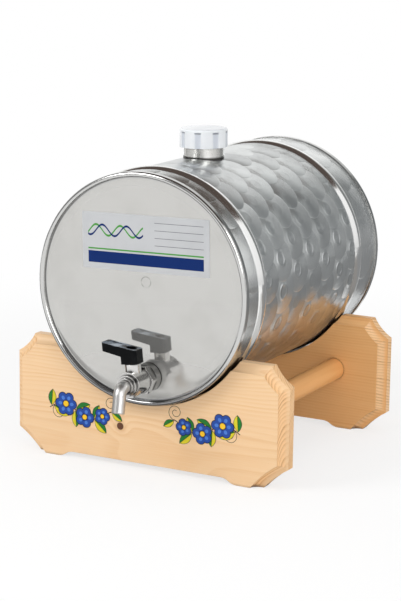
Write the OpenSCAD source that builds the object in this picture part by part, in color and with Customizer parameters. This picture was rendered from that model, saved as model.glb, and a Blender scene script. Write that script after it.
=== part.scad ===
// Stainless steel drinks barrel lying in a pine cradle, with a ball tap in its front end and a
// screw cap on top. Millimetres, +Z up, front towards -Y, origin on the floor under the middle.

/* [Barrel] */
// Outer radius of the rolled rims at both ends
rim_r = 110; // [100:1:120]
// Length over both rims
barrel_l = 302; // [270:1:340]
// Height of the barrel's axis over the floor
axis_h = 176; // [170:1:190]
// How far the barrel lies turned in its cradle, in degrees
barrel_roll = 6; // [-12:1:12]
// Thickness of the steel sheet
sheet = 1; // [0.8:0.1:1.4]
// How far the rims stand proud of the shell
rim_proud = 1; // [0.6:0.1:1.4]
// Thickness of a rim, measured along the radius
rim_t = 5; // [4.5:0.1:6]
// Width of a rim, measured along the barrel
rim_w = 7; // [6:0.5:10]
// How deep each end lies behind its rim
end_recess = 4; // [3.5:0.1:5]
// Height of the two raised hoops over the shell
bead_h = 2.5; // [1.5:0.1:3.5]
// Width of the two raised hoops
bead_w = 16; // [12:1:20]
// Distance of the front hoop's crest from the front rim
front_bead = 35.5; // [30:0.5:45]
// Distance of the rear hoop's crest from the rear rim
rear_bead = 50; // [40:0.5:60]

/* [Filler] */
// Outer radius of the filler neck
neck_r = 19; // [16:0.5:22]
// Wall of the filler neck
neck_wall = 3; // [2.2:0.1:4]
// Height of the neck over the top of the shell
neck_h = 23; // [20:0.5:28]
// Distance of the filler's axis from the front rim
filler_y = 126.5; // [110:0.5:190]
// Turn of the filler round the barrel, away from the tap's plane, in degrees
filler_turn = 5; // [-10:0.5:10]
// How far the weld stands out round the neck's foot
weld_out = 0.8; // [0.5:0.1:1.5]
// Height of the weld over the top of the shell
weld_h = 1; // [0.6:0.1:2]
// Pitch of the cap's thread
thread_pitch = 4; // [3.5:0.1:4]
// Turns of thread on the neck and in the cap
thread_turns = 2; // [1.5:0.25:2]
// Depth inside the cap, from its foot to the back of its sealing disc
cap_skirt = 15; // [15:0.5:18]
// Thickness of the cap's top
cap_top = 2.8; // [2:0.1:4]
// Wall of the cap, outside its thread
cap_wall = 2.6; // [2:0.1:3.5]
// Number of finger flutes round the cap
cap_flutes = 8; // [6:1:12]
// Depth of a finger flute
flute_depth = 1.1; // [0.6:0.1:1.4]
// Height of the plain band over the finger flutes
flute_land = 2.5; // [1.5:0.1:4]
// Thickness of the cap's sealing disc
gasket_t = 2; // [1.5:0.1:2.4]

/* [Label] */
// Width of the label
label_w = 134; // [90:1:140]
// Height of the label
label_h = 53; // [30:1:56]
// Thickness of the label film
label_t = 0.3; // [0.2:0.05:0.5]
// How far the label sits to the right of the barrel's centre line
label_side = 8; // [-10:1:10]
// How far the label's corners stay inside the rim
label_gap = 3; // [2:0.5:10]
// Tilt of the label against the barrel, in degrees
label_tilt = 4.5; // [-6:0.5:6]

/* [Tap] */
// Distance of the tap's axis from the inner edge of the rim
tap_edge = 23; // [20:0.5:32]
// Outer radius of the welded boss
boss_r = 13.5; // [13:0.1:16]
// How far the boss stands out of the end
boss_out = 9.5; // [7:0.5:14]
// How far the boss reaches into the barrel
boss_in = 8; // [6:0.5:12]
// Outer radius of the tap's pipe thread
pipe_r = 10.45; // [9:0.05:11]
// Thickness of the flat seal between boss and tap
seal_t = 1; // [1:0.1:2.5]
// Width across flats of the hexagon
hex_af = 25; // [24.5:0.5:30]
// Length of the hexagon
hex_l = 7.5; // [5:0.5:12]
// Radius of the ball
ball_r = 8; // [7:0.1:8.5]
// Radius of the waterway through the ball
port_r = 4.75; // [3.5:0.05:5]
// Wall of the tap round the ball
body_wall = 3.3; // [2.5:0.1:5]
// Length of the tap's neck behind the ball's seat
neck_l = 1; // [0.5:0.1:4]
// Thickness of a seat ring
seat_t = 4; // [3.4:0.1:4.5]
// Length of the threaded part of the outlet insert
insert_l = 4; // [3.5:0.1:7]
// Length of the insert's round flange
flange_l = 3; // [2:0.1:5]
// Length of the insert's nose
nose_l = 2.5; // [2:0.1:5]
// Outer radius of the spout tube
spout_r = 6; // [5.5:0.1:6.5]
// Wall of the spout tube
spout_wall = 1; // [0.8:0.1:1.2]
// Straight length of the spout between nose and bend
spout_run = 1.5; // [1:0.5:10]
// Radius of the spout's bend, on its centre line
bend_r = 10; // [9:0.5:20]
// Angle of the spout's bend, in degrees
bend_angle = 71; // [45:1:80]
// Straight length of the spout after the bend
spout_l = 15.5; // [10:0.5:35]

/* [Handle] */
// Radius of the valve stem
stem_r = 4.5; // [4.2:0.1:5]
// Height of the stem's guide over the tap's round body
guide_h = 6; // [3.6:0.1:6]
// Height of the stem's square
square_h = 7.5; // [6:0.5:8]
// Width of the handle
handle_w = 15; // [13:0.5:18]
// Length of the hub along the lever
hub_l = 16; // [14:0.5:20]
// Height of the hub above the stem's axis
hub_h = 14.5; // [14.5:0.1:18]
// Distance of the lever's tip from the stem's axis
lever_l = 28; // [24:1:50]
// Thickness of the lever at its tip
lever_t = 8; // [5:0.5:9]
// Rise of the lever towards its tip, in degrees
lever_rise = 12; // [0:1:15]
// Radius of the well that holds the screw
well_r = 5; // [4:0.1:5.5]
// Radius of the screw's head
head_r = 3.6; // [3:0.1:3.8]
// Height of the screw's head
head_h = 2.5; // [2:0.1:3]
// Radius of the screw's shank
screw_r = 1.95; // [1.5:0.05:2]

/* [Cradle] */
// Width of each board
board_w = 292; // [276:1:320]
// Height of the boards' top edge over the floor
board_top = 116; // [104:1:120]
// Width of the flat edge band of a board
board_flat = 9; // [7:0.5:14]
// Radius of the cove round a board's edges
cove_r = 8; // [6:0.5:9]
// How far the scalloped shoulder cuts in from the side
shoulder_in = 18.5; // [14:0.5:22]
// Height of the scalloped shoulder
shoulder_h = 19; // [14:0.5:24]
// Depth of the shoulder's hollow curve
shoulder_dip = 2; // [1:0.1:3]
// How far the scalloped foot cuts in from the side
foot_in = 24.5; // [18:0.5:28]
// Height of the scalloped foot
foot_h = 20.5; // [15:0.5:26]
// Depth of the foot's hollow curve
foot_dip = 1.2; // [0.8:0.1:2.5]
// Width of a foot where it stands
foot_w = 24.5; // [20:0.5:32]
// Height of the low arch between the feet
arch_h = 5.5; // [5:0.1:10]
// Length over which the arch rises
arch_run = 17; // [14:0.5:26]
// Rounding of the corner between cradle and top edge
cradle_corner = 4; // [2:0.5:6]
// How far the front board's middle lies ahead of the front hoop's crest
front_ahead = 10; // [0:0.5:10]
// How far the rear board's middle lies behind the rear hoop's crest
rear_behind = 1; // [0:0.5:8]
// Radius of the two round rails
rail_r = 11; // [9:0.5:13]
// Distance of each rail from the middle
rail_x = 91; // [84:0.5:100]
// Height of the rails over the floor
rail_h = 61; // [40:0.5:64]
// Depth of the rails' blind sockets in the boards
socket_depth = 12; // [8:0.5:14]

/* [Clearances] */
// Gap between hoops and cradle
cradle_clear = 0.5; // [0.3:0.1:1]
// Gap round a turning shaft or ball
run_clear = 0.05; // [0.02:0.01:0.1]
// Gap round a thread, a seal or a glued socket
seat_clear = 0.1; // [0.05:0.01:0.15]
// Gap between handle and tap
turn_gap = 0.4; // [0.3:0.1:0.8]

/* [Hidden] */
$fn = 96;

// A little extra so that a cut runs clean through
over = 1;

// Barrel: radii from the axis, places along it from the front rim
shell_r = rim_r - rim_proud;
end_r = rim_r - rim_t;
rim_mid = rim_r - rim_t / 2;
bead_arc = (pow(bead_w / 2, 2) + pow(bead_h, 2)) / (2 * bead_h);
bead_centre = shell_r + bead_h - bead_arc;
front_crest = front_bead;
rear_crest = barrel_l - rear_bead;

// Filler: heights from the barrel's axis
neck_bore = neck_r - neck_wall;
neck_in = 3;
neck_foot = shell_r - sheet - neck_in;
neck_top = shell_r + neck_h;
weld_top = shell_r + weld_h;
thread_depth = 1.1;
thread_gap = 0.6;
thread_root = 0.4;
thread_foot_w = 1.6;
thread_tip_w = 1;
thread_top_gap = 1.2;
cap_bore = neck_r + thread_depth + thread_gap;
cap_r = cap_bore + cap_wall;
gasket_z = neck_top + seat_clear;
cap_inner_top = gasket_z + gasket_t + seat_clear;
cap_foot = cap_inner_top - cap_skirt;
cap_h = cap_skirt + cap_top;
cap_bevel = 1.2;
flute_share = 0.45;
flute_r = flute_share * cap_r;
flute_phase = 0.3;
neck_thread_z = neck_top - thread_top_gap - thread_pitch * thread_turns;
cap_thread_z = neck_thread_z - thread_pitch / 2;

// Label: the top corners keep label_gap from the rim
label_reach = label_w / 2 + abs(label_side);
label_up = sqrt(pow(end_r - label_gap, 2) - pow(label_reach, 2)) - label_h / 2;

// Tap: z runs outwards from the end's face, y up along the stem
tap_drop = end_r - tap_edge;
seal_inset = 1.5;
hex_z = boss_out + seal_t;
body_z = hex_z + hex_l;
seat_z = body_z + neck_l;
stem_z = seat_z + ball_r;
insert_z = stem_z + ball_r;
body_end = insert_z + insert_l;
nose_z = body_end + flange_l;
nose_end = nose_z + nose_l;
chamber_room = 0.7;
chamber_r = ball_r + chamber_room;
body_r = chamber_r + body_wall;
seat_r = chamber_r - seat_clear;
pipe_in = 5;
spout_past = 1;
spout_in = nose_end - body_end + spout_past;
flange_step = 2.3;
flange_r = body_r - flange_step;
nose_wall = 1.8;
nose_r = spout_r + nose_wall;
bend_z = nose_end + spout_run;
draw_step = 0.03;
draw_lap = 0.3;
spout_bore = spout_r - spout_wall;
tip_z = bend_z + (bend_r + spout_r - draw_step) * sin(bend_angle) + spout_l * cos(bend_angle);

// O-rings: section radius, and the groove that holds it
ring_r = 0.5;
ring_room = 0.05;
groove_room = 0.2;
groove_l = 2 * ring_r + groove_room;

// Stem: heights over the tap's axis, and a square that passes through the stem's bore
square_room = 0.15;
square_af = stem_r * sqrt(2) - square_room;
slot_w = 3.2;
slot_depth = 2.8;
tang_l = 7;
stem_flange_out = 1.1;
stem_flange_r = stem_r + stem_flange_out;
stem_flange_up = 1.3;
stem_flange_z = ball_r + stem_flange_up;
stem_flange_t = 1.5;
washer_t = 0.8;
pocket_room = 0.15;
pocket_r = stem_flange_r + pocket_room;
washer_z = stem_flange_z + stem_flange_t + run_clear;
pocket_top = washer_z + washer_t;
guide_wall = 3;
guide_r = stem_r + guide_wall;
guide_top = body_r + guide_h;
hub_z = guide_top + turn_gap;
square_top = hub_z + square_h;
square_gap = 0.2;
web_z = square_top + square_gap;
web_t = 1.8;
screw_z = web_z + web_t;
screw_l = 8;
stem_hole_l = 6.5;
ring_inset = 1.1;
stem_ring_z = [pocket_top + ring_inset, guide_top - ring_inset];

// Handle: side view, x along the lever, y up
function lever_top(x) = hub_z + hub_h - x * tan(lever_rise);
hub_round = 2.5;
lever_root = 1;
lever_foot = lever_top(-hub_l / 2) - lever_t - lever_root;
dish_r = 40;
dish_depth = 0.9;
dish_side = 2.2;
dish_x = -(hub_l / 2 + lever_l) / 2;

// Cradle: places along the barrel from the front rim, heights from the floor
board_t = board_flat + 2 * cove_r;
half_w = board_w / 2;
cradle_r = shell_r + bead_h + cradle_clear;
front_board_y = front_crest - front_ahead - board_t / 2;
rear_board_y = rear_crest + rear_behind - board_t / 2;
rail_y = front_board_y + board_t - socket_depth;
rail_l = rear_board_y - front_board_y - board_t + 2 * socket_depth;
side_top = [half_w, board_top - shoulder_h];
top_end = [half_w - shoulder_in, board_top];
side_foot = [half_w, foot_h];
foot_end = [half_w - foot_in, 0];
arch_out = foot_end[0] - foot_w;
arch_arc = (pow(arch_run, 2) + pow(arch_h, 2)) / (4 * arch_h);

// The whole part is centred over its footprint, from spout tip to rear rim
front_y = (tip_z - end_recess - barrel_l) / 2;

steel = [0.78, 0.79, 0.80];
bright_steel = [0.86, 0.86, 0.87];
pine = [0.93, 0.78, 0.58];
black_plastic = [0.05, 0.05, 0.06];
clear_plastic = [0.93, 0.95, 0.97];
white_plastic = [0.92, 0.92, 0.90];
rubber = [0.10, 0.10, 0.10];
label_grey = [0.84, 0.85, 0.86];

// Places the barrel's own frame: y along its axis from the front rim, z towards the filler
module in_barrel() {
    translate([0, front_y, axis_h]) rotate([0, -barrel_roll, 0]) children();
}

// Places the rear end like the front one, turned about to face backwards
module at_rear() {
    translate([0, barrel_l, 0]) mirror([0, 1, 0]) children();
}

// Places the tap's frame: z outwards from the end's face, y up along the stem
module in_tap() {
    in_barrel() translate([0, end_recess, -tap_drop]) rotate([90, 0, 0]) children();
}

// Places the stem's frame: z up along the stem, from the tap's axis
module on_stem() {
    in_tap() translate([0, 0, stem_z]) rotate([-90, 0, 0]) children();
}

// Places the filler in the barrel's frame: z up the neck, from the barrel's axis
module at_filler() {
    translate([0, filler_y, 0]) rotate([0, filler_turn, 0]) children();
}

// Places the filler's own frame
module in_filler() {
    in_barrel() at_filler() children();
}

// Turns a radius-and-length section round the barrel's axis
module spin() {
    rotate([-90, 0, 0]) rotate_extrude() children();
}

// A flat washer standing on z
module ring(r_out, r_in, z, h) {
    translate([0, 0, z]) difference() {
        cylinder(r = r_out, h = h);
        translate([0, 0, -over]) cylinder(r = r_in, h = h + 2 * over);
    }
}

// An O-ring lying in a groove of that inner radius
module o_ring(r_in, z) {
    translate([0, 0, z]) rotate_extrude() translate([r_in + ring_room / 2 + ring_r, 0])
        circle(r = ring_r);
}

// Half section of the barrel, inset under its outer face and lengthened by extra at both ends
module barrel_section(inset, extra) {
    translate([0, rim_w / 2 - extra]) square([shell_r - inset, barrel_l - rim_w + 2 * extra]);
    for (crest = [front_crest, rear_crest]) intersection() {
        translate([bead_centre, crest]) circle(r = bead_arc - inset);
        translate([shell_r - sheet - bead_h, crest - bead_w]) square([bead_arc, 2 * bead_w]);
    }
}

module barrel_shell() {
    color(steel) in_barrel() difference() {
        spin() difference() {
            barrel_section(0, 0);
            barrel_section(sheet, over);
        }
        at_filler() cylinder(r = neck_r, h = rim_r + bead_h);
    }
}

// Half section of an end: a disc whose edge rolls out and over the shell
module end_section() {
    translate([0, end_recess]) square([end_r + over, sheet]);
    difference() {
        union() {
            translate([rim_mid, rim_t / 2]) circle(r = rim_t / 2);
            translate([end_r, rim_t / 2]) square([rim_t, rim_w - rim_t / 2]);
        }
        translate([shell_r - sheet, rim_w / 2]) square([sheet, rim_w]);
    }
}

module front_end() {
    color(bright_steel) difference() {
        in_barrel() spin() end_section();
        in_tap() translate([0, 0, -boss_in]) cylinder(r = boss_r, h = boss_in + boss_out);
    }
}

module back_end() {
    color(bright_steel) in_barrel() at_rear() spin() end_section();
}

// One screw ridge, from radius r_a with width w_a to radius r_b with width w_b
module screw_ridge(r_a, r_b, w_a, w_b) {
    steps = 24 * thread_turns;
    profile = [[r_a, -w_a / 2], [r_b, -w_b / 2], [r_b, w_b / 2], [r_a, w_a / 2]];
    points = [for (i = [0:steps]) for (p = profile) let (a = i * 360 * thread_turns / steps)
        [p[0] * cos(a), p[0] * sin(a), p[1] + thread_pitch * a / 360]];
    sides = [for (i = [0:steps - 1]) for (k = [0:3]) let (a = 4 * i + k, b = 4 * i + (k + 1) % 4)
        each [[a, b + 4, a + 4], [a, b, b + 4]]];
    last = 4 * steps;
    ends = [[0, 2, 1], [0, 3, 2], [last, last + 1, last + 2], [last, last + 2, last + 3]];
    polyhedron(points = points, faces = concat(sides, ends));
}

module filler_neck() {
    color(bright_steel) in_filler() {
        difference() {
            union() {
                difference() {
                    cylinder(r = neck_r + weld_out, h = weld_top);
                    rotate([90, 0, 0]) cylinder(r = shell_r, h = 4 * neck_r, center = true);
                }
                translate([0, 0, neck_foot]) cylinder(r = neck_r, h = neck_top - neck_foot);
                translate([0, 0, neck_thread_z])
                    screw_ridge(neck_r - thread_root, neck_r + thread_depth, thread_foot_w, thread_tip_w);
            }
            translate([0, 0, neck_foot - over]) cylinder(r = neck_bore, h = neck_top);
        }
    }
}

module filler_cap() {
    cap_tip_r = cap_bore - thread_depth;
    color(clear_plastic) in_filler() {
        difference() {
            translate([0, 0, cap_foot]) rotate_extrude() polygon([[0, 0], [cap_r, 0],
                [cap_r, cap_h - cap_bevel], [cap_r - cap_bevel, cap_h], [0, cap_h]]);
            translate([0, 0, cap_foot - over]) cylinder(r = cap_bore, h = cap_skirt + over);
            for (i = [0:cap_flutes - 1]) rotate([0, 0, (i + flute_phase) * 360 / cap_flutes])
                translate([cap_r + flute_r - flute_depth, 0, cap_foot - over])
                    cylinder(r = flute_r, h = cap_h - flute_land + over);
        }
        translate([0, 0, cap_thread_z])
            screw_ridge(cap_tip_r, cap_bore + thread_root, thread_tip_w, thread_foot_w);
    }
}

module cap_gasket() {
    color(white_plastic) in_filler() translate([0, 0, gasket_z]) cylinder(r = neck_r, h = gasket_t);
}

module label() {
    color(label_grey) in_barrel() translate([label_side, end_recess - label_t, label_up])
        rotate([0, label_tilt, 0]) translate([-label_w / 2, 0, -label_h / 2])
            cube([label_w, label_t, label_h]);
}

module tap_boss() {
    color(bright_steel) in_tap() ring(boss_r, pipe_r + seat_clear, -boss_in, boss_in + boss_out);
}

module boss_seal() {
    color(rubber) in_tap() ring(boss_r - seal_inset, pipe_r + seat_clear, boss_out, seal_t);
}

module valve_body() {
    color(bright_steel) difference() {
        union() {
            in_tap() {
                translate([0, 0, -pipe_in]) cylinder(r = pipe_r, h = pipe_in + hex_z + over);
                translate([0, 0, hex_z]) cylinder(d = hex_af / cos(30), h = hex_l, $fn = 6);
                translate([0, 0, hex_z + over]) cylinder(r = body_r, h = body_end - hex_z - over);
            }
            on_stem() cylinder(r = guide_r, h = guide_top);
        }
        in_tap() {
            translate([0, 0, -pipe_in - over]) cylinder(r = port_r, h = body_end);
            translate([0, 0, seat_z]) cylinder(r = chamber_r, h = body_end);
        }
        on_stem() {
            cylinder(r = pocket_r, h = pocket_top);
            cylinder(r = stem_r + run_clear, h = guide_top + over);
        }
    }
}

// A seat ring from z, hollowed to the ball
module seat(z) {
    in_tap() difference() {
        ring(seat_r, port_r, z, seat_t);
        translate([0, 0, stem_z]) sphere(r = ball_r + run_clear);
    }
}

module inlet_seat() {
    color(white_plastic) seat(seat_z);
}

module outlet_seat() {
    color(white_plastic) seat(insert_z - seat_t);
}

// The ball at rest is shut: its waterway lies across the tap, along x
module valve_ball() {
    color(bright_steel) on_stem() difference() {
        sphere(r = ball_r);
        rotate([0, 90, 0]) cylinder(r = port_r, h = 4 * ball_r, center = true);
        translate([-slot_w / 2, -ball_r, ball_r - slot_depth]) cube([slot_w, 2 * ball_r, ball_r]);
    }
}

module valve_stem() {
    tang_w = slot_w - 2 * seat_clear;
    tang_z = ball_r - slot_depth + seat_clear;
    color(bright_steel) on_stem() difference() {
        union() {
            translate([-tang_w / 2, -tang_l / 2, tang_z])
                cube([tang_w, tang_l, stem_flange_z - tang_z + over]);
            translate([0, 0, stem_flange_z]) cylinder(r = stem_flange_r, h = stem_flange_t);
            translate([0, 0, stem_flange_z]) cylinder(r = stem_r, h = hub_z - stem_flange_z);
            translate([-square_af / 2, -square_af / 2, hub_z - over])
                cube([square_af, square_af, square_h + over]);
        }
        translate([0, 0, square_top - stem_hole_l])
            cylinder(r = screw_r + run_clear, h = stem_hole_l + over);
        for (z = stem_ring_z) ring(stem_r + over, stem_r - 2 * ring_r, z - groove_l / 2, groove_l);
    }
}

module stem_washer() {
    color(white_plastic) on_stem() ring(stem_flange_r, stem_r + run_clear, washer_z, washer_t);
}

module stem_seals() {
    color(rubber) on_stem() for (z = stem_ring_z) o_ring(stem_r - 2 * ring_r, z);
}

module valve_insert() {
    color(bright_steel) in_tap() difference() {
        union() {
            translate([0, 0, insert_z]) cylinder(r = seat_r, h = insert_l + over);
            translate([0, 0, body_end]) cylinder(r = flange_r, h = flange_l);
            translate([0, 0, nose_z - over]) cylinder(r = nose_r, h = nose_l + over);
        }
        translate([0, 0, insert_z - over]) cylinder(r = port_r, h = nose_end);
        translate([0, 0, nose_end - spout_in]) cylinder(r = spout_r + run_clear, h = spout_in + over);
        ring(seat_r + over, seat_r - 2 * ring_r, insert_z + insert_l / 2 - groove_l / 2, groove_l);
    }
}

module insert_seal() {
    color(rubber) in_tap() o_ring(seat_r - 2 * ring_r, insert_z + insert_l / 2);
}

// One radius swept along the spout's path; its free end has a radius of its own
module spout_rod(r, r_free, extra) {
    translate([0, 0, nose_end - spout_in - extra]) cylinder(r = r, h = spout_in + spout_run + extra);
    translate([0, -bend_r, bend_z]) {
        rotate([90, 0, 90]) rotate_extrude(angle = bend_angle) translate([bend_r, 0]) circle(r = r);
        rotate([bend_angle, 0, 0]) translate([0, bend_r, -draw_lap])
            cylinder(r = r_free, h = spout_l + draw_lap + extra);
    }
}

module spout() {
    color(bright_steel) in_tap() difference() {
        spout_rod(spout_r, spout_r - draw_step, 0);
        spout_rod(spout_bore, spout_bore + draw_step, over);
    }
}

// Side view of the handle, x along the lever and y up
module handle_side() {
    polygon([[-hub_l / 2, hub_z], [hub_l / 2, hub_z], [hub_l / 2, lever_top(hub_l / 2)],
        [-lever_l, lever_top(-lever_l)], [-lever_l, lever_top(-lever_l) - lever_t],
        [-hub_l / 2, lever_foot]]);
}

// Plan view of the handle, with rounded corners
module handle_plan() {
    flat_l = lever_l + hub_l / 2;
    translate([-lever_l + hub_round, -handle_w / 2]) square([flat_l - 2 * hub_round, handle_w]);
    translate([-lever_l, -handle_w / 2 + hub_round]) square([flat_l, handle_w - 2 * hub_round]);
    for (x = [-lever_l + hub_round, hub_l / 2 - hub_round]) for (y = [-1, 1])
        translate([x, y * (handle_w / 2 - hub_round)]) circle(r = hub_round);
}

module handle_lever() {
    socket_af = square_af + 2 * run_clear;
    color(black_plastic) on_stem() difference() {
        intersection() {
            rotate([90, 0, 0]) linear_extrude(handle_w + over, center = true) handle_side();
            translate([0, 0, hub_z - over]) linear_extrude(4 * hub_h) handle_plan();
        }
        translate([-socket_af / 2, -socket_af / 2, hub_z - over])
            cube([socket_af, socket_af, web_z - hub_z + over]);
        translate([0, 0, hub_z]) cylinder(r = screw_r + seat_clear, h = hub_h);
        translate([0, 0, screw_z]) cylinder(r = well_r, h = 2 * hub_h);
        translate([dish_x, 0, lever_top(dish_x)]) rotate([0, lever_rise, 0])
            translate([0, 0, dish_r - dish_depth]) rotate([90, 0, 0])
                cylinder(r = dish_r, h = handle_w - 2 * dish_side, center = true);
    }
}

module handle_screw() {
    slot_size = head_h / 2;
    color(bright_steel) on_stem() difference() {
        union() {
            translate([0, 0, screw_z]) cylinder(r = head_r, h = head_h);
            translate([0, 0, screw_z - screw_l]) cylinder(r = screw_r, h = screw_l + over);
        }
        translate([-slot_size / 2, -head_r, screw_z + head_h - slot_size])
            cube([slot_size, 2 * head_r, head_h]);
    }
}

// Radius of the circle through two points of the outline that dips into the board between them
function dip_r(p, q, dip) = (pow(norm(q - p) / 2, 2) + pow(dip, 2)) / (2 * dip);

// Middle of that circle, outside the board, which lies to the left on the way from p to q
function dip_centre(p, q, dip) = let (d = (q - p) / norm(q - p))
    (p + q) / 2 + [d[1], -d[0]] * (dip_r(p, q, dip) - dip);

shoulder_r = dip_r(side_top, top_end, shoulder_dip);
shoulder_c = dip_centre(side_top, top_end, shoulder_dip);
foot_r = dip_r(foot_end, side_foot, foot_dip);
foot_c = dip_centre(foot_end, side_foot, foot_dip);

// The low arch: a flat middle, and at each end a hollow arc that runs into a round one
module arch() {
    flat_x = arch_out - arch_run;
    translate([-flat_x, -over]) square([2 * flat_x, arch_h + over]);
    for (s = [0, 1]) mirror([s, 0]) {
        intersection() {
            translate([flat_x, arch_h - arch_arc]) circle(r = arch_arc);
            translate([flat_x - over, -over]) square([arch_run, arch_h + over]);
        }
        difference() {
            translate([flat_x + arch_run / 2, -over]) square([arch_run / 2, arch_h / 2 + over]);
            translate([arch_out, arch_arc]) circle(r = arch_arc);
        }
    }
}

// What the rounding takes off the corner between cradle and top edge
module corner_cut() {
    z = board_top - cradle_corner;
    x = sqrt(pow(cradle_r + cradle_corner, 2) - pow(axis_h - z, 2));
    difference() {
        polygon([[x, z], [x, board_top + over], [0, board_top + over], [0, axis_h]]);
        translate([x, z]) circle(r = cradle_corner);
    }
}

// Outline of a board, x across and y up
module board_outline() {
    right = [foot_end, side_foot, side_top, top_end];
    difference() {
        polygon(concat(right, [for (i = [3:-1:0]) [-right[i][0], right[i][1]]]));
        translate([0, axis_h]) circle(r = cradle_r);
        arch();
        for (s = [0, 1]) mirror([s, 0]) {
            translate(shoulder_c) circle(r = shoulder_r);
            translate(foot_c) circle(r = foot_r);
            corner_cut();
        }
    }
}

// What the router takes off along sides, shoulders, feet and top edge, round one face
module cove() {
    top_w = 2 * (top_end[0] + cove_r);
    translate([0, board_top, 0]) rotate([0, 90, 0]) cylinder(r = cove_r, h = top_w, center = true);
    for (s = [0, 1]) mirror([s, 0]) {
        translate([half_w, side_foot[1] - cove_r, 0]) rotate([-90, 0, 0])
            cylinder(r = cove_r, h = side_top[1] - side_foot[1] + 2 * cove_r);
        translate(shoulder_c) rotate_extrude() translate([shoulder_r, 0]) circle(r = cove_r);
        translate(foot_c) rotate_extrude() translate([foot_r, 0]) circle(r = cove_r);
    }
}

// A board with its back face at y; the rails' sockets open in the face at socket_z
module board(y, socket_z) {
    translate([0, front_y + y + board_t, 0]) rotate([90, 0, 0]) difference() {
        linear_extrude(board_t) board_outline();
        for (z = [0, board_t]) translate([0, 0, z]) cove();
        for (side = [-1, 1]) translate([side * rail_x, rail_h, socket_z])
            cylinder(r = rail_r + seat_clear, h = 2 * socket_depth, center = true);
    }
}

module front_board() {
    color(pine) board(front_board_y, 0);
}

module rear_board() {
    color(pine) board(rear_board_y, board_t);
}

module rail(side) {
    translate([side * rail_x, front_y + rail_y, rail_h]) rotate([-90, 0, 0])
        cylinder(r = rail_r, h = rail_l);
}

module left_rail() {
    color(pine) rail(-1);
}

module right_rail() {
    color(pine) rail(1);
}

barrel_shell();
front_end();
back_end();
filler_neck();
filler_cap();
cap_gasket();
label();
tap_boss();
boss_seal();
valve_body();
inlet_seat();
outlet_seat();
valve_ball();
valve_stem();
stem_washer();
stem_seals();
valve_insert();
insert_seal();
spout();
handle_lever();
handle_screw();
front_board();
rear_board();
left_rail();
right_rail();
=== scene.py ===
import bpy
import bmesh
import math
from mathutils import Matrix, Vector


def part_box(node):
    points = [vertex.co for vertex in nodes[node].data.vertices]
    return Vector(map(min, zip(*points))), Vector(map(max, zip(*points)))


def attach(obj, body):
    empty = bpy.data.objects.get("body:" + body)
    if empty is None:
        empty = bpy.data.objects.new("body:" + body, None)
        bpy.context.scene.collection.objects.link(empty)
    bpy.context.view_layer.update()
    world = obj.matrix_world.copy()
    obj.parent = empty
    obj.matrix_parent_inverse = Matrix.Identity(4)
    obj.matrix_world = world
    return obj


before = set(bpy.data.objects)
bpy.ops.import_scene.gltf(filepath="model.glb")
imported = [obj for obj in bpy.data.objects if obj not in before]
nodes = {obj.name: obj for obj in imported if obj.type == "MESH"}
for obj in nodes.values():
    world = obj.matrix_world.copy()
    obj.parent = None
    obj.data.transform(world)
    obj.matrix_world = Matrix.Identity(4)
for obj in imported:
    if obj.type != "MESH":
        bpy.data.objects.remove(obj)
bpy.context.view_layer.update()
mm = 0.001
print("frame loaded,", len(nodes), "nodes")

# places that several pieces share, read from the frame
rimLow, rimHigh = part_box("front_end")
axisHeight = (rimLow.z + rimHigh.z) / 2
rimRadius = (rimHigh.x - rimLow.x) / 2
frontRimY, rearRimY = rimLow.y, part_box("back_end")[1].y
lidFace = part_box("label")[1].y
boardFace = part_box("front_board")[0].y


# node helpers

def put(tree, kind, ins=None, **props):
    node = tree.nodes.new(kind)
    for name, value in props.items():
        setattr(node, name, value)
    for key, value in (ins or {}).items():
        if isinstance(value, bpy.types.NodeSocket):
            tree.links.new(value, node.inputs[key])
        else:
            node.inputs[key].default_value = value
    return node


def calc(tree, operation, *terms):
    return put(tree, "ShaderNodeMath", dict(enumerate(terms)), operation=operation).outputs[0]


def times(tree, first, *others):
    for other in others:
        first = calc(tree, "MULTIPLY", first, other)
    return first


def scaled(tree, value, gain, base):
    return calc(tree, "MULTIPLY_ADD", value, gain, base)


def apart(tree, value, middle):
    return calc(tree, "ABSOLUTE", calc(tree, "SUBTRACT", value, middle))


def vectorCalc(tree, operation, *terms):
    node = put(tree, "ShaderNodeVectorMath", dict(enumerate(terms)), operation=operation)
    return node.outputs["Value"] if operation == "LENGTH" else node.outputs[0]


def scaleVector(tree, vector, factor):
    return put(tree, "ShaderNodeVectorMath", {0: vector, "Scale": factor}, operation="SCALE").outputs[0]


def splitXYZ(tree, vector):
    return put(tree, "ShaderNodeSeparateXYZ", {0: vector}).outputs


def joinXYZ(tree, *values):
    return put(tree, "ShaderNodeCombineXYZ", dict(enumerate(values))).outputs[0]


def offset(tree, place, middle, keep):
    return vectorCalc(tree, "MULTIPLY", vectorCalc(tree, "SUBTRACT", place, middle), keep)


def mixColour(tree, factor, low, high, mode="MIX"):
    ins = {0: factor, 6: low, 7: high}
    return put(tree, "ShaderNodeMix", ins, data_type="RGBA", blend_type=mode).outputs[2]


def mixVector(tree, factor, low, high):
    return put(tree, "ShaderNodeMix", {0: factor, 4: low, 5: high}, data_type="VECTOR").outputs[1]


def fade(tree, value, start, end, low=0.0, high=1.0):
    ins = {"Value": value, "From Min": start, "From Max": end, "To Min": low, "To Max": high}
    return put(tree, "ShaderNodeMapRange", ins, interpolation_type="SMOOTHSTEP").outputs[0]


def fadeOut(tree, value, start, end, share=1.0):
    return fade(tree, value, start, end, share, 0.0)


def noise(tree, vector, scale, detail=3.0, roughness=0.5):
    ins = {"Vector": vector, "Scale": scale, "Detail": detail, "Roughness": roughness}
    return put(tree, "ShaderNodeTexNoise", ins).outputs[0]


def chanceOf(tree, seed):
    return put(tree, "ShaderNodeTexWhiteNoise", {"W": seed}, noise_dimensions="1D").outputs


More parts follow.
